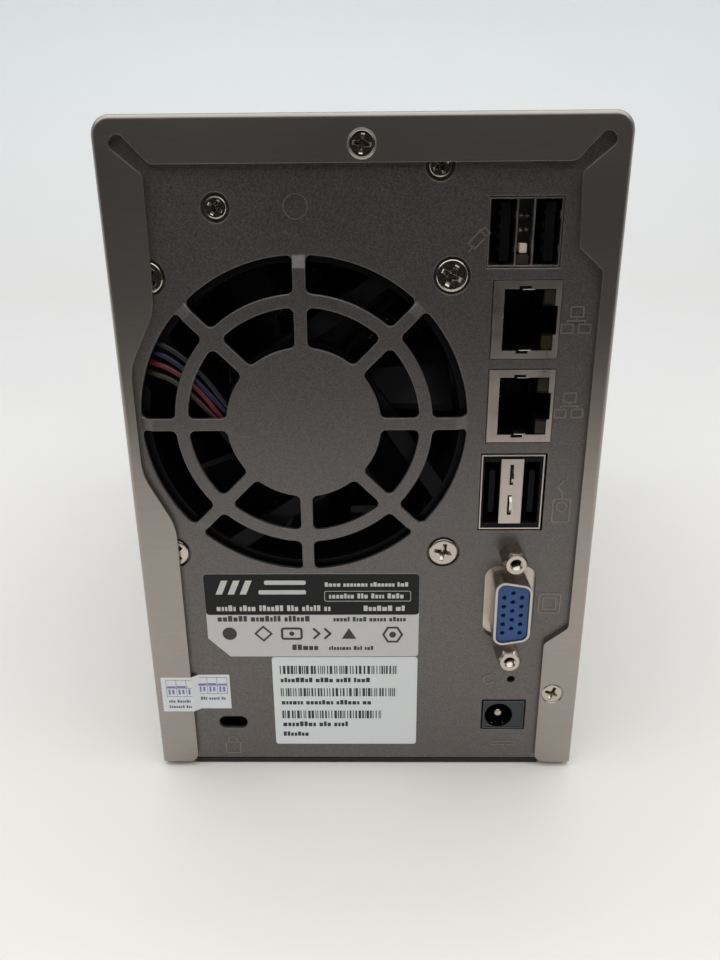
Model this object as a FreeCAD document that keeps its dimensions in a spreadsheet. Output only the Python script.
import FreeCAD, Part
import math
import os
import Sketcher
from FreeCAD import Placement, Rotation, Vector

# A small network storage enclosure for four 2.5 inch drives, in millimetres.
# +Z is up, the front faces -Y and the connector panel faces +Y. The origin is the
# middle of the bottom of the whole object's box, on the surface that it stands on.

doc = FreeCAD.newDocument("storage_enclosure")
sheet = doc.addObject("Spreadsheet::Sheet", "sizes")

SIZES = {
    # the whole enclosure
    "wide": 102, "tall": 150, "deep": 216, "foot_tall": 1.5, "skin": 1.2, "cover_corner": 3.8,
    "bend_radius": 1.0, "fit_gap": 0.2, "lever_proud": 1.5, "jack_proud": 4.8,
    # rear opening of the cover
    "top_flange": 8.8, "side_flange": 9.0, "slim_flange": 3.3, "mitre": 6.3, "mitre_gap": 3.4,
    # rear panel and fan grille
    "panel_thick": 1.0, "lip": 12, "dimple_deep": 1.0, "dimple_radius": 3.7, "small_dimple": 2.85,
    "fan_x": 12.7, "fan_z": 89.6, "grille_radius": 34.75, "grille_raise": 1.0, "grille_slope": 2.5,
    "hub_disc_radius": 16.4, "ring_inner": 24.6, "ring_outer": 27.3, "spoke_wide": 2.6,
    # fan
    "fan_wide": 70, "fan_deep": 20, "fan_bore": 33.3, "fan_hole_pitch": 61,
    "motor_radius": 17, "strut_wide": 3.8, "strut_deep": 3.5, "strut_offset": 15, "rotor_radius": 16,
    "blade_gap": 0.9, "wire_radius": 0.65, "wire_pitch": 1.4,
    # main board and its connectors, which share one edge line
    "board_face": 40, "board_thick": 1.6, "board_front": 45, "connector_proud": 0.3,
    "usb_z": 128.25, "lan_z": 111.2, "lan_pitch": 18.05, "esata_z": 73.5, "port_x": 32.9,
    "vga_x": 33.35, "vga_z": 46.25, "jackscrew_pitch": 25, "jack_shank": 1.9, "jack_thread": 1.42,
    "reset_x": 35.1, "reset_z": 25.05,
    "dc_z": 14.8, "sheet_metal": 0.3,
    # front
    "bezel_deep": 14, "bezel_wall": 2.5, "bay_left": 23.5, "bay_right": 48.9, "column_x": 37.5,
    "front_board_thick": 1.6, "button_travel": 0.5, "window_wide": 64, "window_tall": 16, "window_z": 130,
    # drive bays
    "bay_floor": 13.1, "bay_pitch": 24, "tray_left": 23.2, "tray_right": 48.6, "tray_wall": 0.8,
    "face_deep": 6, "tray_end": 5, "cage_sheet": 0.8, "cage_end": 14,
    "drive_hole_x": 61.72, "drive_hole_y": 76.6, "drive_hole_radius": 1.7,
    "lever_thick": 2.25, "hinge_x": 43.6, "hinge_deep": 1.9, "hinge_radius": 1.85,
    # fasteners
    "screw_radius": 1.5, "recess_wide": 0.95,
}


class Size(float):
    """A number that remembers the sheet expression it was worked out from."""

    def __new__(cls, value, text=None):
        size = float.__new__(cls, value)
        size.text = f"{float(value):.6f}" if text is None else text
        return size

    def __add__(self, other):
        return Size(float(self) + float(other), f"({self.text} + {words(other)})")

    def __radd__(self, other):
        return Size(float(other) + float(self), f"({words(other)} + {self.text})")

    def __sub__(self, other):
        return Size(float(self) - float(other), f"({self.text} - {words(other)})")

    def __rsub__(self, other):
        return Size(float(other) - float(self), f"({words(other)} - {self.text})")

    def __mul__(self, other):
        return Size(float(self) * float(other), f"({self.text} * {words(other)})")

    __rmul__ = __mul__

    def __truediv__(self, other):
        return Size(float(self) / float(other), f"({self.text} / {words(other)})")

    def __neg__(self):
        return Size(-float(self), f"(0 - {self.text})")


def words(number):
    return number.text if isinstance(number, Size) else f"({float(number):.6f})"


class Sheet:
    """Gives each cell of the sheet as a Size: s.wide is the cell with the alias wide."""

    def __getattr__(self, alias):
        return Size(float(SIZES[alias]), f"sizes.{alias}")


for row, (alias, number) in enumerate(SIZES.items(), start=1):
    sheet.set(f"A{row}", alias)
    sheet.set(f"B{row}", str(number))
    sheet.setAlias(f"B{row}", alias)
doc.recompute()
s = Sheet()

# Planes that many pieces share
side = s.wide / 2
rear = (s.deep + s.lever_proud - s.jack_proud) / 2
front = rear - s.deep
cover_front = front + s.bezel_deep
panel_out = rear - s.skin
panel_in = panel_out - s.panel_thick
fan_rear = panel_in - s.dimple_deep
fan_front = fan_rear - s.fan_deep
board_plane = -s.board_face
front_board_rear = cover_front - 0.75
front_board_face = front_board_rear - s.front_board_thick

NODES = {}


# ---------------------------------------------------------------- helpers

def bind(thing, prop, number):
    """Set a property, bound to the sheet when its number comes from there."""
    thing.setExpression(prop, words(number))


def node(thing, label):
    """Register a finished sub-part under the label that names its file."""
    thing.Label = label
    NODES[label] = thing
    return thing


def box(x, y, z, name="block"):
    """A box given by its lowest and highest x, y and z."""
    part = doc.addObject("Part::Box", name)
    for prop, axis, (low, high) in zip(("Length", "Width", "Height"), "xyz", (x, y, z)):
        bind(part, prop, high - low)
        bind(part, f"Placement.Base.{axis}", low)
    return part


TURN = {
    "x": Rotation(Vector(0, 1, 0), 90),
    "y": Rotation(Vector(1, 0, 0), -90),
    "z": Rotation(),
}


def place(part, axis, start):
    part.Placement = Placement(Vector(), TURN[axis])
    for name, number in zip("xyz", start):
        bind(part, f"Placement.Base.{name}", number)
    return part


def rod(axis, start, length, radius, name="rod"):
    """A cylinder from a point along the positive direction of an axis."""
    part = doc.addObject("Part::Cylinder", name)
    bind(part, "Radius", radius)
    bind(part, "Height", length)
    return place(part, axis, start)


def taper(axis, start, length, first_radius, last_radius, name="taper"):
    """A cone from a point along the positive direction of an axis."""
    part = doc.addObject("Part::Cone", name)
    bind(part, "Radius1", first_radius)
    bind(part, "Radius2", last_radius)
    bind(part, "Height", length)
    return place(part, axis, start)


def join(parts, name="joined"):
    if len(parts) == 1:
        return parts[0]
    part = doc.addObject("Part::MultiFuse", name)
    part.Shapes = parts
    part.Refine = True
    return part


def cut(base, tools, name="shaped"):
    part = doc.addObject("Part::Cut", name)
    part.Base = base
    part.Tool = join(tools)
    return part


def group(parts, label):
    """Separate solids that share one node."""
    part = doc.addObject("Part::Compound", label)
    part.Links = parts
    return node(part, label)


def rounded(part, radius, chosen, name="rounded"):
    """Round the edges of a Part object that the function chosen picks."""
    doc.recompute()
    edges = [i for i, edge in enumerate(part.Shape.Edges, start=1) if chosen(edge)]
    result = doc.addObject("Part::Fillet", name)
    result.Base = part
    result.Edges = [(i, float(radius), float(radius)) for i in edges]
    return result


def at(edge, **place_of_centre):
    """Whether the middle of an edge has the given coordinates."""
    centre = edge.CenterOfMass
    return all(abs(getattr(centre, axis) - float(value)) < 0.02 for axis, value in place_of_centre.items())


def along(edge, axis):
    """Whether an edge is straight and runs along an axis."""
    if edge.Curve.TypeId != "Part::GeomLine":
        return False
    return abs(getattr(edge.tangentAt(edge.FirstParameter), axis)) > 0.999


def on_corners(corners, axis="y", centre=(0, 0)):
    """A chooser of the edges along an axis that stand on an outline's corners in the XZ plane."""
    return lambda edge: along(edge, axis) and any(
        at(edge, x=across + centre[0], z=up + centre[1]) for across, up in corners)


def new_body(label):
    return node(doc.addObject("PartDesign::Body", label), label)


def rectangle(across, up):
    return [(across[0], up[0]), (across[1], up[0]), (across[1], up[1]), (across[0], up[1])]


def circle(across, up, radius):
    return (across, up, radius)


def sketch_on(body, plane, level, centre=(0, 0)):
    """An empty sketch on one of the body's planes, moved to a level along the plane's axis."""
    sketch = body.newObject("Sketcher::SketchObject", "outline")
    base = next(f for f in body.Origin.OriginFeatures if f.Role == f"{plane}_Plane")
    sketch.AttachmentSupport = [(base, "")]
    sketch.MapMode = "FlatFace"
    bind(sketch, "AttachmentOffset.Base.x", centre[0])
    bind(sketch, "AttachmentOffset.Base.y", centre[1])
    bind(sketch, "AttachmentOffset.Base.z", -level if plane == "XZ" else level)
    return sketch


def draw(sketch, loops):
    """Draw closed polygons, given as lists of corners, and circles, given as tuples."""
    constraints = []
    bound = {}

    def hold(kind, name, number, *where):
        constraint = Sketcher.Constraint(kind, *where, float(number))
        constraint.Name = name
        constraints.append(constraint)
        bound[name] = words(number)

    for loop in loops:
        first = sketch.GeometryCount
        if isinstance(loop, tuple):
            across, up, radius = loop
            shape = Part.Circle(Vector(float(across), float(up), 0), Vector(0, 0, 1), float(radius))
            sketch.addGeometry(shape, False)
            hold("DistanceX", f"across_{first}", across, -1, 1, first, 3)
            hold("DistanceY", f"up_{first}", up, -1, 1, first, 3)
            hold("Radius", f"radius_{first}", radius, first)
            continue
        corners = [Vector(float(a), float(b), 0) for a, b in loop]
        for here, there in zip(corners, corners[1:] + corners[:1]):
            sketch.addGeometry(Part.LineSegment(here, there), False)
        for i, (across, up) in enumerate(loop):
            last = first + (i - 1) % len(loop)
            constraints.append(Sketcher.Constraint("Coincident", last, 2, first + i, 1))
            hold("DistanceX", f"across_{first + i}", across, -1, 1, first + i, 1)
            hold("DistanceY", f"up_{first + i}", up, -1, 1, first + i, 1)
    sketch.addConstraint(constraints)
    for name, text in bound.items():
        sketch.setExpression(f"Constraints.{name}", text)
    return sketch


def sweep_step(body, kind, plane, span, loops, centre=(0, 0)):
    low, high = span
    sketch = draw(sketch_on(body, plane, high if plane == "XZ" else low, centre), loops)
    step = body.newObject(f"PartDesign::{kind}", kind.lower())
    step.Profile = sketch
    bind(step, "Length", high - low)
    return step


def pad(body, plane, span, *loops, centre=(0, 0)):
    """Add the outline between two levels: y for the XZ plane, z for XY and x for YZ."""
    return sweep_step(body, "Pad", plane, span, loops, centre)


def pocket(body, plane, span, *loops, centre=(0, 0)):
    """Cut the outline away between two levels, and make sure that something was cut."""
    doc.recompute()
    before = body.Shape.Volume
    step = sweep_step(body, "Pocket", plane, span, loops, centre)
    step.Reversed = True
    doc.recompute()
    if body.Shape.Volume > before - 1e-3:
        raise RuntimeError(f"a pocket in {body.Label} cut nothing")
    return step


def fillet(body, radius, chosen):
    """Round the edges of a body that the function chosen picks."""
    doc.recompute()
    tip = body.Tip
    edges = [f"Edge{i}" for i, edge in enumerate(tip.Shape.Edges, start=1) if chosen(edge)]
    step = body.newObject("PartDesign::Fillet", "rounding")
    step.Base = (tip, edges)
    bind(step, "Radius", radius)
    return step


def around(body, step, sketch, count):
    """Repeat a step around a sketch's normal axis."""
    doc.recompute()
    pattern = body.newObject("PartDesign::PolarPattern", "repeat")
    pattern.Originals = [step]
    pattern.Axis = (sketch, ["N_Axis"])
    pattern.Angle = 360
    pattern.Occurrences = count
    body.Tip = pattern
    return pattern


def spin(angle):
    """A direction in the XZ plane, as plain numbers, and its left-hand normal."""
    turn = math.radians(angle)
    return Vector(math.cos(turn), 0, math.sin(turn)), Vector(-math.sin(turn), 0, math.cos(turn))


def cross_recess(x, face, z, reach, deep, turn):
    """Two crossed slots that open towards +Y, for a cross-head screw."""
    slots = []
    for angle in (turn, turn + 90):
        rotation = Rotation(Vector(0, 1, 0), angle)
        corner = rotation.multVec(Vector(-reach, -deep, -float(s.recess_wide) / 2))
        slot = doc.addObject("Part::Box", "slot")
        slot.Placement = Placement(Vector(), rotation)
        bind(slot, "Length", 2 * reach)
        bind(slot, "Width", deep + 0.5)
        bind(slot, "Height", s.recess_wide)
        bind(slot, "Placement.Base.x", x + corner.x)
        bind(slot, "Placement.Base.y", face + corner.y)
        bind(slot, "Placement.Base.z", z + corner.z)
        slots.append(slot)
    return slots


def pan_screw(x, seat, z, head_radius, head_tall, length, turn):
    """A cross-head pan screw that faces +Y and is seated on the plane y = seat."""
    head = rod("y", (x, seat, z), head_tall, head_radius, "head")
    dome = rounded(head, min(float(head_tall) * 0.75, 0.7), lambda edge: at(edge, y=seat + head_tall))
    shank = rod("y", (x, seat - length, z), length + 0.05, s.screw_radius, "shank")
    recess = cross_recess(x, seat + head_tall, z, head_radius * 0.62, head_tall * 0.75, turn)
    return cut(join([dome, shank]), recess, "screw")


def flat_screw(x, face, z, head_radius, length, turn):
    """A countersunk cross-head screw that lies flush with the plane y = face."""
    head = taper("y", (x, face - s.skin, z), s.skin, s.screw_radius, head_radius, "head")
    shank = rod("y", (x, face - length, z), length - s.skin + 0.05, s.screw_radius, "shank")
    recess = cross_recess(x, face, z, head_radius * 0.6, s.skin * 0.75, turn)
    return cut(join([head, shank]), recess, "screw")


# ---------------------------------------------------------------- casing

COVER_SCREWS = ((0, s.tall - 5.5), (-(side - 6), s.foot_tall + 20.2), (side - 6, s.foot_tall + 20.2))
PANEL_SCREWS = ((s.fan_x + 15.9, s.tall - 16.7), (-s.fan_x - 2.3, s.tall - 9.4))
FAN_CORNERS = [
    (s.fan_x + i * s.fan_hole_pitch / 2, s.fan_z + k * s.fan_hole_pitch / 2)
    for i in (-1, 1) for k in (-1, 1)
]


def rear_opening():
    """The outline that the cover's three rear flanges leave open, mitred at the top corners."""
    top = s.tall - s.top_flange
    flange = side - s.side_flange
    slim = side - s.slim_flange
    mitre_low = flange - s.fit_gap, top - s.mitre_gap / 1.7
    mitre_side = flange + s.mitre, top - s.mitre_gap / 1.7 + s.mitre * 0.87
    mitre_top = mitre_side[0] - s.mitre_gap * 0.66, mitre_side[1] + s.mitre_gap * 0.74
    right = [
        (flange, s.foot_tall - 1),
        (flange, s.foot_tall + 64.7),
        (slim + 0.5, s.foot_tall + 77),
        (slim + 0.5, s.foot_tall + 100.5),
        (flange + 0.2, s.foot_tall + 112.3),
        mitre_low,
        mitre_side,
        mitre_top,
        (flange - 1.6, top),
    ]
    left = [
        (-(flange - 1.6), top),
        (-mitre_top[0], mitre_top[1]),
        (-mitre_side[0], mitre_side[1]),
        (-mitre_low[0], mitre_low[1]),
        (-flange - 0.4, s.foot_tall + 124.0),
        (-(slim - 0.3), s.foot_tall + 119.6),
        (-(slim - 0.3), s.foot_tall + 38.4),
        (-flange, s.foot_tall + 34.2),
        (-flange, s.foot_tall - 1),
    ]
    return right, left


def make_outer_cover():
    cover = new_body("outer_cover")
    pad(cover, "XZ", (cover_front, rear), rectangle((-side, side), (s.foot_tall, s.tall)))
    fillet(cover, s.cover_corner, lambda e: along(e, "y") and at(e, z=s.tall))
    inner = side - s.skin
    pocket(cover, "XZ", (cover_front - 1, rear - s.skin), rectangle((-inner, inner), (0, s.tall - s.skin)))
    fillet(cover, s.cover_corner - s.skin, lambda e: along(e, "y") and at(e, z=s.tall - s.skin))
    right, left = rear_opening()
    pocket(cover, "XZ", (rear - s.skin, rear + 1), right + left)
    for x, z in COVER_SCREWS:
        pocket(cover, "XZ", (rear - s.skin, rear + 1), circle(x, z, s.screw_radius))
    curve = [corner for corner in right[1:5]]
    fillet(cover, 10 * s.skin, lambda e: along(e, "y") and any(at(e, x=x, z=z) for x, z in curve))
    soft = [left[i] for i in (0, 3, 4, 5, 6, 7)] + [right[i] for i in (5, 8)]
    fillet(cover, s.bend_radius * 1.8, lambda e: along(e, "y") and any(at(e, x=x, z=z) for x, z in soft))
    relief = [left[i] for i in (1, 2)] + [right[i] for i in (6, 7)]
    fillet(cover, s.mitre_gap * 0.42, lambda e: along(e, "y") and any(at(e, x=x, z=z) for x, z in relief))
    feet = [(k * (side - s.side_flange), s.foot_tall) for k in (-1, 1)]
    fillet(cover, s.bend_radius * 2.5, lambda e: along(e, "y") and abs(e.Length - s.skin) < 0.01
           and any(at(e, x=x, z=z) for x, z in feet))

    def outer_bend(edge):
        centre = edge.CenterOfMass
        return centre.y > rear - 0.02 and (abs(centre.x) > side - 2 or centre.z > s.tall - 2)

    fillet(cover, s.bend_radius, outer_bend)


def make_countersinks():
    """Cones that sink the flush screws into the cover's flanges."""
    cover = NODES["outer_cover"]
    sinks = [taper("y", (x, rear - s.skin, z), s.skin, s.screw_radius, 2.75) for x, z in COVER_SCREWS]
    node(cut(cover, sinks, "sunk_cover"), "outer_cover")
    cover.Label = "cover_shell"


def make_rear_panel():
    panel = new_body("rear_panel")
    edge = side - s.skin - 0.1
    low, high = s.foot_tall + 0.4, s.tall - s.skin - s.fit_gap
    pad(panel, "XZ", (panel_in, panel_out), rectangle((-edge, edge), (low, high)))
    fillet(panel, s.cover_corner - 1, lambda e: along(e, "y") and at(e, z=high))
    opening = pocket(
        panel, "XZ", (panel_in - 1, panel_out + 1), circle(0, 0, s.grille_radius), centre=(s.fan_x, s.fan_z))
    port = s.port_x
    cut_outs = [
        rectangle((-port - 6.25, -port + 8.4), (s.usb_z - 6.75, s.usb_z + 6.75)),
        rectangle((-port - 7.1, -port + 6.85), (s.lan_z - 8.05, s.lan_z + 8.05)),
        rectangle((-port - 7.1, -port + 6.85), (s.lan_z - s.lan_pitch - 8.05, s.lan_z - s.lan_pitch + 8.05)),
        rectangle((-port - 6.8, -port + 7.6), (s.esata_z - 9.15, s.esata_z + 9.15)),
        rectangle((-s.vga_x - 5.8, -s.vga_x + 4.95), (s.dc_z - 4.4, s.dc_z + 4.4)),
    ]
    vga_window = rectangle((-s.vga_x - 5.8, -s.vga_x + 5.8), (s.vga_z - 9.25, s.vga_z + 9.25))
    lock_x, lock_z = side - 18.25, s.foot_tall + 11.0
    lock = rectangle((lock_x - 3.5, lock_x + 3.5), (lock_z - 1.8, lock_z + 1.8))
    pocket(panel, "XZ", (panel_in - 1, panel_out + 1), *cut_outs, vga_window, lock)
    screw_holes = [circle(x, z, s.screw_radius) for x, z in COVER_SCREWS]
    jackscrew_holes = [circle(-s.vga_x, s.vga_z + k * s.jackscrew_pitch / 2, s.jack_shank) for k in (-1, 1)]
    pocket(
        panel, "XZ", (panel_in - 1, panel_out + 1), *screw_holes, *jackscrew_holes,
        circle(-s.reset_x, s.reset_z, 0.95))
    fillet(panel, 1.7, on_corners(lock))
    fillet(panel, 3, on_corners(vga_window))
    # the fan stands on four dimples, and each dimple sinks its screw's head below the flanges
    dimples = [(x, z, s.dimple_radius) for x, z in FAN_CORNERS]
    dimples += [(x, z, s.small_dimple) for x, z in PANEL_SCREWS]
    pad(panel, "XZ", (fan_rear, panel_in), *[circle(x, z, radius + 1) for x, z, radius in dimples])
    pocket(panel, "XZ", (panel_in, panel_out + 1), *[circle(x, z, radius) for x, z, radius in dimples])
    pocket(panel, "XZ", (fan_rear - 1, panel_in + 1), *[circle(x, z, s.screw_radius) for x, z, _ in dimples])
    # fan grille, pressed outwards: each spoke slopes back to the sheet at its outer end
    reach = s.grille_radius + 0.6
    top = panel_out + s.grille_raise
    spoke = pad(
        panel, "XY", (s.fan_z - s.spoke_wide / 2, s.fan_z + s.spoke_wide / 2),
        [
            (s.fan_x + s.hub_disc_radius - 2, panel_out),
            (s.fan_x + s.grille_radius - s.grille_slope, panel_out),
            (s.fan_x + s.grille_radius, panel_in),
            (s.fan_x + reach, panel_in),
            (s.fan_x + reach, panel_out),
            (s.fan_x + s.grille_radius, panel_out),
            (s.fan_x + s.grille_radius - s.grille_slope, top),
            (s.fan_x + s.hub_disc_radius - 2, top),
        ])
    around(panel, spoke, opening.Profile[0], 8)
    pad(panel, "XZ", (panel_out, top), circle(0, 0, s.ring_outer), circle(0, 0, s.ring_inner),
        centre=(s.fan_x, s.fan_z))
    pad(panel, "XZ", (panel_out, top), circle(0, 0, s.hub_disc_radius), centre=(s.fan_x, s.fan_z))

    def grille_corner(edge):
        if not along(edge, "y") or abs(edge.Length - s.grille_raise) > 0.01:
            return False
        radius = math.hypot(edge.CenterOfMass.x - s.fan_x, edge.CenterOfMass.z - s.fan_z)
        return any(abs(radius - ring) < 0.05 for ring in (s.hub_disc_radius, s.ring_inner, s.ring_outer))

    fillet(panel, 1.3, grille_corner)

    def rim_corner(edge):
        if not along(edge, "y") or abs(edge.Length - s.panel_thick) > 0.01:
            return False
        radius = math.hypot(edge.CenterOfMass.x - s.fan_x, edge.CenterOfMass.z - s.fan_z)
        return abs(radius - s.grille_radius) < 0.05

    fillet(panel, 1.2, rim_corner)
    # lips that stiffen the panel and take the cover screws
    lip_y = (panel_in - s.lip, panel_in)
    for end in (-1, 1):
        lip_x = sorted((end * edge, end * (edge - s.panel_thick)))
        pad(panel, "XY", (s.foot_tall + 8, s.tall - 12), rectangle(lip_x, lip_y))
    pad(panel, "XZ", lip_y, rectangle((-42, 42), (high - s.panel_thick, high)))


def make_base_chassis():
    """The floor of the enclosure and the wall that carries the main board, bent from one sheet."""
    bent = doc.addObject("PartDesign::Body", "bent_sheet")
    wall = side - s.skin - s.fit_gap
    floor_top = s.foot_tall + s.skin
    pad(bent, "XZ", (cover_front + 0.2, panel_in - s.lip), [
        (-wall, s.foot_tall), (wall, s.foot_tall), (wall, floor_top), (-wall + s.skin, floor_top),
        (-wall + s.skin, s.tall - 4), (-wall, s.tall - 4),
    ])
    pad(bent, "XZ", (panel_in - s.lip, panel_in), rectangle((-wall, wall), (s.foot_tall, floor_top)))
    slots = [
        box((row - 12, row + 12), (-70 + 12 * i, -67 + 12 * i), (s.foot_tall - 1, floor_top + 1), "slot")
        for row in (-20, 22) for i in range(12)
    ]
    node(cut(bent, slots), "base_chassis")


def make_rubber_feet():
    feet = []
    for x in (-38, 38):
        for y in (-82, 88):
            foot = rod("z", (x, y, 0), s.foot_tall, 6, "foot")
            feet.append(rounded(foot, 0.4, lambda edge: at(edge, z=0)))
    group(feet, "rubber_feet")


def make_screws():
    cover_screws = [
        flat_screw(x, rear, z, 2.75, 5.5, turn) for (x, z), turn in zip(COVER_SCREWS, (8, 52, 20))]
    group(cover_screws, "cover_screws")
    panel_screws = [
        pan_screw(x, panel_in, z, 2.2, 0.95, 4.5, turn) for (x, z), turn in zip(PANEL_SCREWS, (33, 64))]
    group(panel_screws, "panel_screws")
    fan_screws = [
        pan_screw(x, panel_in, z, 3.25, 0.95, 9, turn) for (x, z), turn in zip(FAN_CORNERS, (40, 67, 94, 121))]
    group(fan_screws, "fan_screws")


def make_labels():
    thin = 0.12
    label_top = s.foot_tall + 52.2
    label_low = s.foot_tall + 30.1
    left, right = -12.6, 37.2
    rating = new_body("rating_label")
    pad(rating, "XZ", (panel_out, panel_out + thin), [
        (left, label_low), (right - 5, label_low), (right, label_low + 5), (right, label_top),
        (left, label_top)])
    fillet(rating, 0.8, lambda e: along(e, "y"))
    serial = new_body("serial_label")
    pad(serial, "XZ", (panel_out, panel_out + thin), rectangle(
        (-12.5, 22.4), (s.foot_tall + 4.6, label_low - 0.2)))
    fillet(serial, 0.7, lambda e: along(e, "y"))
    # the seal label lies over the edge of a flange, from the cover down to the panel
    seal = new_body("seal_label")
    flange = side - s.side_flange
    pad(seal, "XY", (s.foot_tall + 15.2, s.foot_tall + 24.9), [
        (32.9, panel_out), (flange - 1.6, panel_out), (flange - 0.05, rear), (49.3, rear),
        (49.3, rear + thin), (flange - 0.15, rear + thin), (flange - 1.75, panel_out + thin),
        (32.9, panel_out + thin)])


# ---------------------------------------------------------------- fan

LEAD_STRUT = -34


def make_fan_frame():
    frame = new_body("fan_frame")
    half = s.fan_wide / 2
    centre = (s.fan_x, s.fan_z)
    pad(frame, "XZ", (fan_front, fan_rear), rectangle((-half, half), (-half, half)), centre=centre)
    fillet(frame, 4, lambda e: along(e, "y"))
    bore = pocket(frame, "XZ", (fan_front - 1, fan_rear + 1), circle(0, 0, s.fan_bore), centre=centre)
    reach = s.fan_hole_pitch / 2
    screw_holes = [circle(i * reach, k * reach, 2.1) for i in (-1, 1) for k in (-1, 1)]
    pocket(frame, "XZ", (fan_front - 1, fan_rear + 1), *screw_holes, centre=centre)
    out, sideways = spin(LEAD_STRUT)
    inner_edge, outer_edge = s.strut_offset - s.strut_wide / 2, s.strut_offset + s.strut_wide / 2
    corners = [(inner_edge, 4), (inner_edge, 30.8), (outer_edge, 28.9), (outer_edge, 4)]
    strut = pad(frame, "XZ", (fan_rear - s.strut_deep, fan_rear),
                [(a * out.x + b * sideways.x, a * out.z + b * sideways.z) for a, b in corners], centre=centre)
    around(frame, strut, bore.Profile[0], 4)
    pad(frame, "XZ", (fan_rear - s.strut_deep, fan_rear), circle(0, 0, s.motor_radius), centre=centre)
    pad(frame, "XZ", (fan_front + 4.3, fan_rear - s.strut_deep), circle(0, 0, 4.5), circle(0, 0, 1.65),
        centre=centre)
    # the lead leaves through a notch in the rim, then runs forward past both flanges
    notch = [(16.2, 22), (16.2, 44), (23.4, 44), (23.4, 22)]
    pocket(frame, "XZ", (fan_rear - s.strut_deep, fan_rear + 1),
           [(a * out.x + b * sideways.x, a * out.z + b * sideways.z) for a, b in notch], centre=centre)
    pocket(frame, "XZ", (fan_front - 1, fan_rear + 1), rectangle((32.95, half + 1), (9.6, 21)), centre=centre)


def make_fan_rotor():
    rotor = doc.addObject("PartDesign::Body", "rotor_body")
    centre = (s.fan_x, s.fan_z)
    start, end = fan_front + 1.0, fan_rear - s.strut_deep - 0.8
    wall = 1.8
    hub = pad(rotor, "XZ", (start, end), circle(0, 0, s.rotor_radius), centre=centre)
    fillet(rotor, 1.0, lambda e: at(e, y=start))
    pocket(rotor, "XZ", (start + wall, end + 1), circle(0, 0, s.rotor_radius - wall), centre=centre)
    pad(rotor, "XZ", (start + wall - 0.5, end), circle(0, 0, s.screw_radius), centre=centre)
    # each blade is lofted from a steep root to a flatter tip that trails it
    blade = rotor.newObject("PartDesign::AdditiveLoft", "blade")
    sections = []
    for radius, chord, pitch, trail in ((s.rotor_radius - 1.2, 15.5, 48, 0), (s.fan_bore - 0.6, 18.5, 27, 7)):
        run, climb = chord * math.cos(math.radians(pitch)) / 2, chord * math.sin(math.radians(pitch)) / 2
        middle = (start + end) / 2
        thick = 0.75
        section = sketch_on(rotor, "YZ", s.fan_x + radius)
        draw(section, [[
            (middle - climb, s.fan_z + trail - run - thick), (middle, s.fan_z + trail - 1.6 - thick),
            (middle + climb, s.fan_z + trail + run - thick), (middle + climb, s.fan_z + trail + run + thick),
            (middle, s.fan_z + trail - 1.6 + thick), (middle - climb, s.fan_z + trail - run + thick),
        ]])
        sections.append(section)
    blade.Profile = sections[0]
    blade.Sections = sections[1:]
    blade.Ruled = True
    rotor.Tip = blade
    around(rotor, blade, hub.Profile[0], 7)
    trimmed = doc.addObject("Part::Common", "trimmed_rotor")
    trimmed.Base = rotor
    trimmed.Tool = rod("y", (s.fan_x, fan_front, s.fan_z), s.fan_deep, s.fan_bore - s.blade_gap)
    node(trimmed, "fan_rotor")


def make_fan_stator():
    start, length = fan_front + 5.2, 10.2
    ring = rod("y", (s.fan_x, start, s.fan_z), length, 13, "windings")
    bore = rod("y", (s.fan_x, start - 1, s.fan_z), length + 2, 4.5, "bore")
    gap_y, gap_z = (start - 1, start + length + 1), (s.fan_z - 2.5, s.fan_z + 2.5)
    gaps = [box((s.fan_x + i * 9 - 1, s.fan_x + i * 9 + 1), gap_y, gap_z) for i in (-1, 1)]
    node(cut(ring, [bore] + gaps), "fan_stator")


def rounded_route(points, radius):
    """Straight runs joined by tangent arcs of one radius, as a wire."""
    edges = []
    here = points[0]
    for before, corner, after in zip(points, points[1:], points[2:]):
        into, out = (before - corner).normalize(), (after - corner).normalize()
        half = into.getAngle(out) / 2
        reach = radius / math.tan(half)
        first, last = corner + into * reach, corner + out * reach
        middle = corner + (into + out).normalize() * (radius / math.sin(half) - radius)
        edges += [Part.LineSegment(here, first).toShape(), Part.Arc(first, middle, last).toShape()]
        here = last
    edges.append(Part.LineSegment(here, points[-1]).toShape())
    return Part.Wire(edges)


def make_fan_lead():
    """Four wires from the motor along one strut, out of the frame and across to the board."""
    out, sideways = spin(LEAD_STRUT)
    level = float(fan_rear) - 1.9
    exit_x, cross_y = float(s.fan_x) + 34.05, float(fan_front) - 4
    wires = []
    for i in range(4):
        offset = 17.75 + float(s.wire_pitch) * i
        centre = Vector(float(s.fan_x), level, float(s.fan_z))
        run = (exit_x - centre.x - offset * out.x) / sideways.x
        start = centre + out * offset + sideways * -3
        leave = centre + out * offset + sideways * run
        turn = Vector(exit_x, cross_y, leave.z)
        end = Vector(-float(s.board_face) + 6, cross_y, leave.z)
        path = rounded_route([start, leave, turn, end], 1.6)
        ring = Part.Circle(start, sideways, float(s.wire_radius))
        wire = doc.addObject("Part::Feature", "wire")
        wire.Shape = path.makePipeShell([Part.Wire(ring.toShape())], True, True)
        section = math.pi * float(s.wire_radius) ** 2
        if abs(wire.Shape.Volume - section * path.Length) > 0.02 * wire.Shape.Volume:
            raise RuntimeError("a fan wire has the wrong volume")
        wires.append(wire)
    group(wires, "fan_lead")


# ---------------------------------------------------------------- main board

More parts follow.
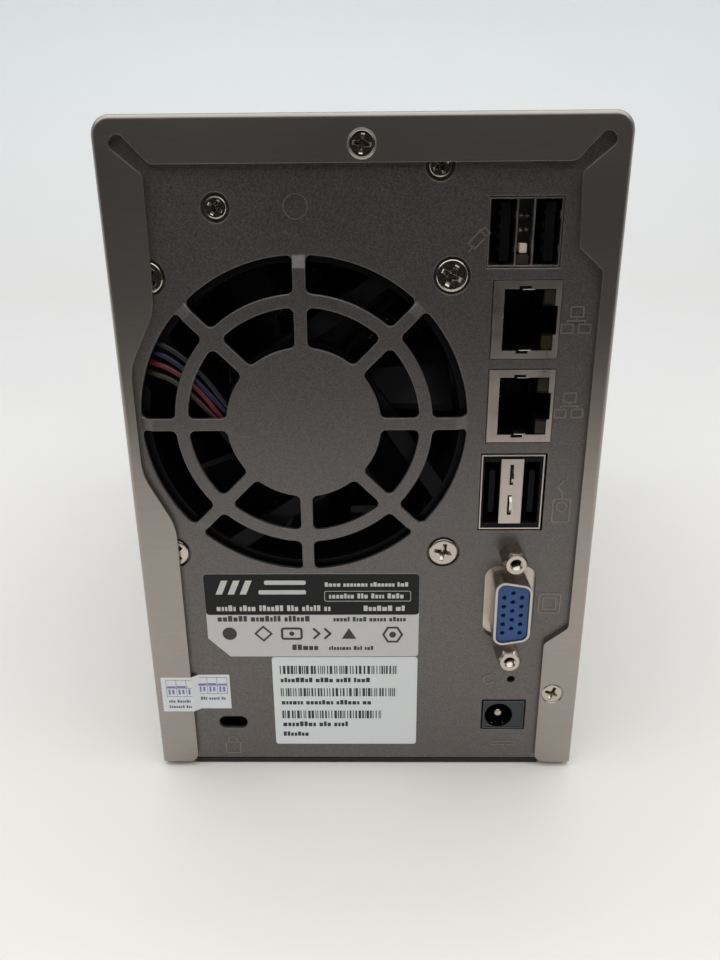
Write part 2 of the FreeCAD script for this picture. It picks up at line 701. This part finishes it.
def make_mainboard():
    board_y = (-s.board_front, panel_in - 0.65)
    board = box((board_plane - s.board_thick, board_plane), board_y, (6, s.tall - 6), "board")
    holes, posts, screws = [], [], []
    for y in (-38, 30, 84):
        for z in (11, s.tall - 11):
            holes.append(rod("x", (board_plane - 3, y, z), 6, s.screw_radius))
            wall = -(side - s.skin - s.fit_gap) + s.skin
            posts.append(rod("x", (wall, y, z), board_plane - s.board_thick - wall, 2.8, "standoff"))
            head = rod("x", (board_plane, y, z), 1.5, 2.6, "head")
            behind = board_plane - s.board_thick
            shank = rod("x", (behind, y, z), s.board_thick + 0.1, s.screw_radius, "shank")
            slot = box((board_plane + 0.7, board_plane + 2), (y - 1.6, y + 1.6), (z - 0.3, z + 0.3), "slot")
            screws.append(cut(join([head, shank]), [slot], "board_screw"))
    node(cut(board, holes), "mainboard")
    group(posts, "board_standoffs")
    group(screws, "board_screws")


def make_board_components():
    face = board_plane
    parts = []
    chips = (
        (38, 62, 64, 88, 2.2), (-2, 22, 118, 138, 1.6), (88, 98, 140.2, 143.5, 1.2), (70, 80, 112, 122, 1.2),
        (70, 80, 86, 94, 1.2), (-34, -14, 118, 132, 1.4), (30, 44, 28, 42, 1.2), (-36, -25, 16, 26, 1.4),
    )
    for y0, y1, z0, z1, tall in chips:
        parts.append(box((face, face + tall), (y0, y1), (z0, z1), "chip"))
    for i in range(4):
        for y, z in ((60, 20 + 10 * i), (72, 20 + 10 * i)):
            can = rod("x", (face, y, z), 8, 3.15, "capacitor")
            parts.append(rounded(can, 0.6, lambda edge: at(edge, x=face + 8)))
    for z in (42, 52):
        parts.append(box((face, face + 5), (44, 53), (z - 4, z + 4), "inductor"))
    parts.append(box((face, face + 6), (fan_front - 7.5, fan_front - 1.5), (100, 111), "fan_header"))
    parts.append(rod("x", (face, 27, 20.5), 8.5, 6, "buzzer"))
    group(parts, "board_components")

    base = face + 2.2
    sink = [box((base, base + 2.5), (30, 70), (56, 96), "sink_base")]
    for i in range(11):
        sink.append(box((base + 2.5, base + 11.5), (30, 70), (56 + 3.89 * i, 57.1 + 3.89 * i), "fin"))
    node(join(sink), "cpu_heatsink")

    socket = box((face, face + 7.4), (1, 7), (38, 108), "memory_socket")
    slit = box((face + 4.2, face + 5.4), (0, 4), (39.2, 106.8), "slit")
    holder = rod("x", (face, -10, 25), 4.2, 11.4, "cell_holder")
    well = rod("x", (face + 0.8, -10, 25), 5, 10.05, "well")
    group([cut(socket, [slit]), cut(holder, [well])], "board_sockets")
    module = box((face + 4.2, face + 5.4), (-26, 4), (39.2, 106.8), "module")
    memory_chips = [
        box((face + 5.4, face + 6.4), (-20, -8), (44 + 16 * i, 55 + 16 * i), "memory_chip") for i in range(4)
    ]
    node(join([module] + memory_chips), "memory_module")
    cell = rod("x", (face + 0.8, -10, 25), 3.2, 10, "cell")
    node(rounded(cell, 0.5, lambda edge: at(edge, x=face + 4)), "coin_cell")


def hollow(x, y, z, wall, name="shell"):
    """A thin metal box that is open at its rear end."""
    outer = box(x, y, z, name)
    inner = box((x[0] + wall, x[1] - wall), (y[0] + wall, y[1] + 1), (z[0] + wall, z[1] - wall), "hollow")
    return outer, inner


def make_usb():
    thin = s.sheet_metal
    face = panel_out - 0.2
    low, high = -s.port_x - 6.1, -s.port_x + 8.3
    z = (s.usb_z - 6.55, s.usb_z + 6.55)
    outer = box((low, high), (face - 17.5, face), z, "usb_stack")
    port = 5.1
    ports = [(low + thin, low + thin + port), (high - thin - port, high - thin)]
    holes = [box(x, (face - 16, face + 1), (z[0] + thin, z[1] - thin)) for x in ports]
    between = box((ports[0][1] + thin, ports[1][0] - thin), (face - 5, face + 1), (z[0] + thin, z[1] - thin))
    stack = cut(outer, holes + [between])
    front_x = (-s.column_x - 6.55, -s.column_x + 6.55)
    front_z = (17.2, 22.9)
    front_y = (front + 0.4, front_board_face)
    outer = box(front_x, front_y, front_z, "front_port")
    inner = box((front_x[0] + thin, front_x[1] - thin), (front_y[0] - 1, front_y[1] - 0.8),
                (front_z[0] + thin, front_z[1] - thin))
    group([stack, cut(outer, [inner])], "usb_shells")
    tongues = []
    for x in ports:
        heel = box((x[0] + 0.1, x[1] - 0.1), (face - 15.9, face - 10), (z[0] + 0.5, z[1] - 0.5), "heel")
        blade = box((x[0] + 1.0, x[0] + 2.9), (face - 10.5, face - 1), (z[0] + 1.0, z[1] - 1.0), "tongue")
        tongues.append(join([heel, blade]))
    heel = box((front_x[0] + 0.5, front_x[1] - 0.5), (front_y[1] - 2.4, front_y[1] - 0.9),
               (front_z[0] + 0.5, front_z[1] - 0.5), "heel")
    blade = box((front_x[0] + 1.0, front_x[1] - 1.0), (front_y[0] + 1, front_y[1] - 2),
                (front_z[1] - 2.9, front_z[1] - 1.0), "tongue")
    tongues.append(join([heel, blade]))
    group(tongues, "usb_tongues")


def make_lan():
    thin = s.sheet_metal
    face = panel_out + s.connector_proud
    x = (-s.port_x - 6.95, -s.port_x + 6.7)
    main_x = (-s.port_x - 3.4, -s.port_x + 4.5)
    shells, inserts = [], []
    for middle in (s.lan_z, s.lan_z - s.lan_pitch):
        z = (middle - 7.85, middle + 7.85)
        y = (face - 21, face)
        outer = box(x, y, z, "lan_shell")
        inner = box((x[0] + thin, x[1] - thin), (y[0] + thin, face - thin), (z[0] + thin, z[1] - thin))
        across = (face - 1, face + 1)
        window = box((main_x[0] - 2.4, main_x[1]), across, (middle - 6.25, middle + 6.25))
        notch = box((x[0] + 0.55, main_x[0]), across, (middle - 2.9, middle + 2.9))
        tabs = box((-s.port_x - 0.9, -s.port_x + 1.6), across, (middle - 6.85, middle + 6.85))
        shells.append(cut(outer, [inner, window, notch, tabs]))
        block = box(
            (x[0] + thin, x[1] - thin), (y[0] + thin, face - thin), (z[0] + thin, z[1] - thin), "insert")
        cavity = box(main_x, (face - 13.5, face + 1), (middle - 6.2, middle + 6.2), "cavity")
        latch = box((x[0] + 0.6, main_x[0] + 0.1), (face - 10, face + 1), (middle - 2.85, middle + 2.85))
        inserts.append(cut(block, [cavity, latch]))
    group(shells, "lan_shells")
    group(inserts, "lan_inserts")


def make_esata():
    thin = s.sheet_metal
    face = panel_out - 0.1
    x = (-s.port_x - 6.3, -s.port_x + 7.35)
    z = (s.esata_z - 8.75, s.esata_z + 8.75)
    y = (face - 15, face)
    outer, inner = hollow(x, y, z, thin)
    plate_x = (-s.port_x - 1.75, -s.port_x + 3.1)
    plate = box(plate_x, (face, face + thin), (z[0] + 1.5, z[1] - 0.9), "divider")
    slots = [
        box((plate_x[0] + 2.1, plate_x[0] + 2.9), (face - 1, face + 1), (s.esata_z + 1.9, s.esata_z + 6.6)),
        box((plate_x[0] + 2.2, plate_x[0] + 3.1), (face - 1, face + 1), (s.esata_z - 5.2, s.esata_z - 0.5)),
    ]
    group([cut(outer, [inner]), cut(plate, slots)], "esata_shell")
    block = box((x[0] + thin, x[1] - thin), (y[0] + thin, face), (z[0] + thin, z[1] - thin), "insert")
    ports = [(x[0] + 0.9, plate_x[0] - 0.15), (plate_x[1] + 0.15, x[1] - 0.7)]
    cavities = [box(port, (face - 8, face + 1), (z[0] + 1.6, z[1] - 1.6)) for port in ports]
    tongue_y, tongue_z = (face - 8.2, face - 0.8), (s.esata_z - 4.9, s.esata_z + 4.9)
    tongues = [box((port[0] + 0.9, port[0] + 2.2), tongue_y, tongue_z, "tongue") for port in ports]
    node(join([cut(block, cavities)] + tongues), "esata_insert")


def d_outline(half_x, half_z):
    """The trapezium of a D-shaped connector, wide towards +X, around its own centre."""
    slope = 2 * half_x * math.tan(math.radians(10))
    return [(half_x, -half_z), (half_x, half_z), (-half_x, half_z - slope), (-half_x, -half_z + slope)]


def d_prism(span, half_x, half_z, radius):
    """A D-shaped bar along Y around the display connector's centre, with rounded corners."""
    centre = (-s.vga_x, s.vga_z)
    bar = doc.addObject("PartDesign::Body", "d_prism")
    pad(bar, "XZ", span, d_outline(half_x, half_z), centre=centre)
    fillet(bar, radius, on_corners(d_outline(half_x, half_z), centre=centre))
    return bar


def make_vga():
    centre = (-s.vga_x, s.vga_z)
    tip = rear + s.jack_proud - 0.25
    holes = [circle(0, k * s.jackscrew_pitch / 2, s.jack_shank) for k in (-1, 1)]
    plate = doc.addObject("PartDesign::Body", "flange")
    pad(plate, "XZ", (panel_in - 0.8, panel_in), rectangle((-6.2, 6.2), (-15.4, 15.4)), centre=centre)
    pocket(plate, "XZ", (panel_in - 1.8, panel_in + 1), *holes, centre=centre)
    tube = d_prism((panel_in - 0.4, tip), 4.15, 8.4, 2.2)
    inside = d_prism((panel_in - 1.8, tip + 1), 3.6, 7.8, 1.7)
    node(cut(join([plate, tube]), [inside]), "vga_shell")

    block = doc.addObject("PartDesign::Body", "connector_block")
    pad(block, "XZ", (panel_in - 12, panel_in - 0.8), rectangle((-6.6, 5.2), (-15.4, 15.4)), centre=centre)
    pocket(block, "XZ", (panel_in - 13, panel_in + 1), *holes, centre=centre)
    nose = d_prism((panel_in - 0.9, tip - 0.45), 3.5, 7.7, 1.65)
    sockets = [
        rod("y", (-s.vga_x + column * 1.98 + 0.1, tip - 3.5, s.vga_z + (i - 2) * 2.27 + shift - 0.5), 4, 0.52)
        for column, shift in ((-1, 0), (0, 1.14), (1, 0)) for i in range(5)
    ]
    node(cut(join([block, nose]), sockets), "vga_insert")

    screws = []
    for k in (-1, 1):
        z = s.vga_z + k * s.jackscrew_pitch / 2
        hexagon = doc.addObject("Part::Prism", "hexagon")
        hexagon.Polygon = 6
        bind(hexagon, "Circumradius", 2.85)
        bind(hexagon, "Height", rear + s.jack_proud - panel_out)
        place(hexagon, "y", (-s.vga_x, panel_out, z))
        edge_round = taper("y", (-s.vga_x, rear + s.jack_proud - 6.6, z), 6.6, 5.5, 2.2, "crown")
        crowned = doc.addObject("Part::Common", "crowned")
        crowned.Base = hexagon
        crowned.Tool = edge_round
        shank = rod("y", (-s.vga_x, panel_in - 6, z), 6 + s.panel_thick + 0.05, s.jack_shank, "shank")
        thread = rod("y", (-s.vga_x, panel_out - 1, z), 8, s.jack_thread, "thread")
        screws.append(cut(join([crowned, shank]), [thread], "jackscrew"))
    group(screws, "vga_jackscrews")


def make_dc_jack():
    x = (-s.vga_x - 5.65, -s.vga_x + 4.8)
    face = panel_out - 0.15
    block = box(x, (face - 14, face), (s.dc_z - 4.25, s.dc_z + 4.25), "jack")
    socket = rod("y", (-s.vga_x + 0.7, face - 10, s.dc_z - 0.25), 12, 3.3, "socket")
    node(cut(block, [socket]), "dc_jack_body")
    pin = rod("y", (-s.vga_x + 0.7, face - 10, s.dc_z - 0.25), 9.3, 1.05, "pin")
    node(rounded(pin, 0.6, lambda edge: at(edge, y=face - 0.7)), "dc_jack_pin")


def make_reset_switch():
    x = (board_plane, -s.reset_x + 2.4)
    z = (s.reset_z - 3.5, s.reset_z + 3.5)
    block = box(x, (panel_in - 10, panel_in - 3.6), z, "switch")
    bore = rod("y", (-s.reset_x, panel_in - 6, s.reset_z), 4, 1.3, "bore")
    node(cut(block, [bore]), "reset_switch_body")
    node(rod("y", (-s.reset_x, panel_in - 5.2, s.reset_z), 4.6, 1.2, "plunger"), "reset_plunger")


# ---------------------------------------------------------------- front

LIGHTS = [84 - 6 * i for i in range(7)]
POWER_Z, COPY_Z = 99, 36
KEY_X = 42


def make_front_bezel():
    bezel = new_body("front_bezel")
    pad(bezel, "XZ", (front, cover_front), rectangle((-side, side), (s.foot_tall, s.tall)))
    fillet(bezel, s.cover_corner, lambda e: along(e, "y"))
    fillet(bezel, 1.4, lambda e: abs(e.CenterOfMass.y - front) < 0.01)
    wall = 2
    pocket(bezel, "XZ", (front + s.bezel_wall, cover_front + 1), rectangle(
        (-side + wall, side - wall), (s.foot_tall + wall, s.tall - wall)))
    half_wide, half_tall = s.window_wide / 2 + 0.1, s.window_tall / 2 + 0.1
    holes = [
        rectangle((-s.bay_left, s.bay_right), (s.bay_floor - 0.4, s.bay_floor + 4 * s.bay_pitch + 0.2)),
        rectangle((-half_wide, half_wide), (s.window_z - half_tall, s.window_z + half_tall)),
        rectangle((-s.column_x - 6.75, -s.column_x + 6.75), (17, 23.1)),
        circle(-s.column_x, POWER_Z, 6.5),
        circle(-s.column_x, COPY_Z, 4.5),
        circle(KEY_X, s.window_z + 5, 3.2),
        circle(KEY_X, s.window_z - 5, 3.2),
    ]
    holes += [circle(-s.column_x, z, 1.55) for z in LIGHTS]
    pocket(bezel, "XZ", (front - 1, front + s.bezel_wall + 1), *holes)


def make_button(label, x, z, radius):
    """A push button: its cap stands in the bezel, its collar keeps it in, its stem meets the board."""
    cap = rod("y", (x, front - 0.5, z), 3.2, radius, "cap")
    cap = rounded(cap, 0.5, lambda edge: at(edge, y=front - 0.5))
    collar = rod("y", (x, front + s.bezel_wall + 0.15, z), 1.2, radius + 1, "collar")
    stem_start = front + s.bezel_wall + 1
    stem = rod("y", (x, stem_start, z), front_board_face - s.button_travel - 0.1 - stem_start, 1.8, "stem")
    node(join([cap, collar, stem]), label)


def make_front_parts():
    make_button("power_button", -s.column_x, POWER_Z, 6.3)
    make_button("copy_button", -s.column_x, COPY_Z, 4.3)
    make_button("select_button", KEY_X, s.window_z + 5, 3.0)
    make_button("enter_button", KEY_X, s.window_z - 5, 3.0)
    half_wide, half_tall = s.window_wide / 2, s.window_tall / 2
    x, z = (-half_wide, half_wide), (s.window_z - half_tall, s.window_z + half_tall)
    node(box(x, (front + 0.3, front + s.bezel_wall), z, "window"), "lcd_window")
    module_y = (front + s.bezel_wall, front_board_face)
    node(box((x[0] - 2, x[1] + 2), module_y, (z[0] - 2.5, z[1] + 2.5), "module"), "lcd_module")
    pipes = [
        rod("y", (-s.column_x, front + 0.1, height), front_board_face - front - 0.1, 1.5, "light_pipe")
        for height in LIGHTS
    ]
    group(pipes, "light_pipes")
    board = new_body("front_board")
    pad(board, "XZ", (front_board_face, front_board_rear), [
        (-47.5, 8), (-26, 8), (-26, 113), (47.5, 113), (47.5, 143), (-47.5, 143)])
    ribbon_y = (front_board_rear, -s.board_front)
    node(box((board_plane - 1.2, board_plane - 0.4), ribbon_y, (60, 82), "ribbon"), "ribbon_cable")


# ---------------------------------------------------------------- drive bays

def make_drive_cage():
    thin = s.cage_sheet
    left, right = -s.tray_left - 0.2, s.tray_right + 0.2
    y = (cover_front + 0.2, s.cage_end)
    floor_top, roof = s.bay_floor - 0.4, s.bay_floor + 4 * s.bay_pitch + 0.3
    sheets = [
        box((left - thin, left), y, (s.foot_tall + s.skin, roof + thin), "cage_wall"),
        box((right, right + thin), y, (s.foot_tall + s.skin, roof + thin), "cage_wall"),
        box((left, right), y, (floor_top - thin, floor_top), "cage_floor"),
        box((left, right), y, (roof, roof + thin), "cage_roof"),
    ]
    for i in range(4):
        level = s.bay_floor + i * s.bay_pitch
        for across in ((left, left + 1.5), (right - 1.5, right)):
            for bottom in (level + 0.95, level + 16.4):
                sheets.append(box(across, (y[0] + 2, s.tray_end + 5), (bottom, bottom + 1), "rail"))
    windows = []
    for i in range(4):
        vent_z = (s.bay_floor + i * s.bay_pitch + 5, s.bay_floor + i * s.bay_pitch + 13.5)
        for k in range(5):
            windows.append(box((left - 3, right + 3), (-80 + 18 * k, -69 + 18 * k), vent_z, "vent"))
    node(cut(join(sheets), windows), "drive_cage")


def make_backplane():
    y = (s.cage_end, s.cage_end + 1.6)
    board = box((board_plane + 1.4, s.tray_right + 0.4), y, (4, 112), "backplane")
    vents = []
    sockets = []
    for i in range(4):
        level = s.bay_floor + i * s.bay_pitch
        vents.append(box((-16, 44), (y[0] - 1, y[1] + 1), (level + 13, level + 20), "vent"))
        body = box((-18, 15), (s.cage_end - 7.5, s.cage_end), (level + 4.5, level + 9.5), "drive_socket")
        signal = box((-16.5, -7), (s.cage_end - 8, s.cage_end - 2), (level + 6.4, level + 7.7), "signal_slot")
        power = box((-5, 13.5), (s.cage_end - 8, s.cage_end - 2), (level + 6.4, level + 7.7), "power_slot")
        sockets.append(cut(body, [signal, power]))
    node(cut(board, vents), "backplane_board")
    sockets.append(box((board_plane, board_plane + 7), (s.cage_end - 5, s.cage_end), (50, 74), "board_plug"))
    group(sockets, "backplane_connectors")


def make_tray(i):
    """One drive tray: a moulded face with a finger lever's recess, and the frame that carries a drive."""
    level = s.bay_floor + i * s.bay_pitch
    left, right = -s.tray_left, s.tray_right
    face_z = (level + 0.4, level + 23.6)
    face = box((left + 0.1, right - 0.1), (front, front + s.face_deep), face_z, "face")
    face = rounded(face, 0.8, lambda edge: abs(edge.CenterOfMass.y - front) < 0.01)
    lever_recess = box((-8.4, 47.5), (front - 1, front + 4), (level + 2.6, level + 21.4), "lever_recess")
    latch_recess = box((-22.0, -9.0), (front - 1, front + 3.2), (level + 5.6, level + 18.4), "latch_recess")
    guide = box((-18.6, -12.6), (front, front + s.face_deep + 1), (level + 10.8, level + 13.2), "guide_slot")
    pin = rod("z", (s.hinge_x, front + s.hinge_deep, level + 1.8), 20.4, 0.87, "pin_hole")
    vents = [
        box((-3 + 6 * k, 0.6 + 6 * k), (front, front + s.face_deep + 1), (level + 7, level + 17), "vent")
        for k in range(7)
    ]
    face = cut(face, [lever_recess, latch_recess, guide, pin] + vents)
    frame_y = (front + s.face_deep - 0.5, s.tray_end)
    floor_z = (level + 2, level + 3)
    floor = box((left, right), frame_y, floor_z, "tray_floor")
    walls = [
        box((left, left + s.tray_wall), frame_y, (level + 2, level + 16), "tray_wall"),
        box((right - s.tray_wall, right), frame_y, (level + 2, level + 16), "tray_wall"),
    ]
    middle_x, first_y = (right + left) / 2, s.tray_end - 14
    holes = [
        rod("z", (middle_x + k * s.drive_hole_x / 2, first_y - n * s.drive_hole_y, level + 1), 3,
            s.drive_hole_radius, "drive_hole")
        for k in (-1, 1) for n in (0, 1)
    ]
    window = box((left + 14, right - 14), (-78, -18), (level + 1, level + 4), "window")
    node(join([face, cut(join([floor] + walls), holes + [window])]), f"tray_{i + 1}")

    plate = box((-8, s.hinge_x), (front - s.lever_proud, front - s.lever_proud + s.lever_thick),
                (level + 3, level + 21), "lever_plate")
    plate = rounded(plate, 0.7, lambda edge: abs(edge.CenterOfMass.y - (front - s.lever_proud)) < 0.01)
    slots = [
        box((-2.4 + 6 * k, 0 + 6 * k), (front - 3, front + 2), (level + 7.5, level + 16.5), "lever_vent")
        for k in range(7)
    ]
    barrel = rod("z", (s.hinge_x, front + s.hinge_deep, level + 3), 18, s.hinge_radius, "barrel")
    trunnions = rod("z", (s.hinge_x, front + s.hinge_deep, level + 1.9), 20.2, 0.8, "trunnions")
    rib = box((-7, -5.2), (front + 0.5, front + 3.2), (level + 4, level + 20), "grip_rib")
    node(join([cut(plate, slots), barrel, trunnions, rib]), f"tray_lever_{i + 1}")

    key = box((-20.2, -9.4), (front - 0.8, front + 2.9), (level + 6, level + 18), "latch_key")
    key = rounded(key, 0.5, lambda edge: abs(edge.CenterOfMass.y - (front - 0.8)) < 0.01)
    groove_y, groove_z = (front - 2, front - 0.3), (level + 8, level + 16)
    grips = [box((-17.6 + 2.2 * k, -16.7 + 2.2 * k), groove_y, groove_z, "grip_groove") for k in range(3)]
    foot = box((-16.6, -13), (front + 2.5, front + s.face_deep), (level + 11, level + 13), "latch_foot")
    node(join([cut(key, grips), foot]), f"tray_latch_{i + 1}")


# ---------------------------------------------------------------- build, check, write

def build():
    make_outer_cover()
    make_countersinks()
    make_rear_panel()
    make_base_chassis()
    make_rubber_feet()
    make_screws()
    make_labels()
    make_fan_frame()
    make_fan_rotor()
    make_fan_stator()
    make_fan_lead()
    make_mainboard()
    make_board_components()
    make_usb()
    make_lan()
    make_esata()
    make_vga()
    make_dc_jack()
    make_reset_switch()
    make_front_bezel()
    make_front_parts()
    make_drive_cage()
    make_backplane()
    for i in range(4):
        make_tray(i)
    doc.recompute()


def check_and_write():
    for thing in doc.Objects:
        if "Invalid" in thing.State or "Error" in thing.State:
            raise RuntimeError(f"{thing.Name} ({thing.Label}) failed: {thing.State}")
    os.makedirs("parts", exist_ok=True)
    for label, thing in NODES.items():
        shape = thing.Shape
        if shape.isNull() or not shape.isValid():
            raise RuntimeError(f"{label} has no valid shape")
        shape.exportStep(f"parts/{label}.step")
        box_of = shape.BoundBox
        print(f"{label}: {len(shape.Solids)} solids, {shape.Volume:.0f} mm3,",
              f"x {box_of.XMin:.2f}..{box_of.XMax:.2f}, y {box_of.YMin:.2f}..{box_of.YMax:.2f},",
              f"z {box_of.ZMin:.2f}..{box_of.ZMax:.2f}")


build()
check_and_write()
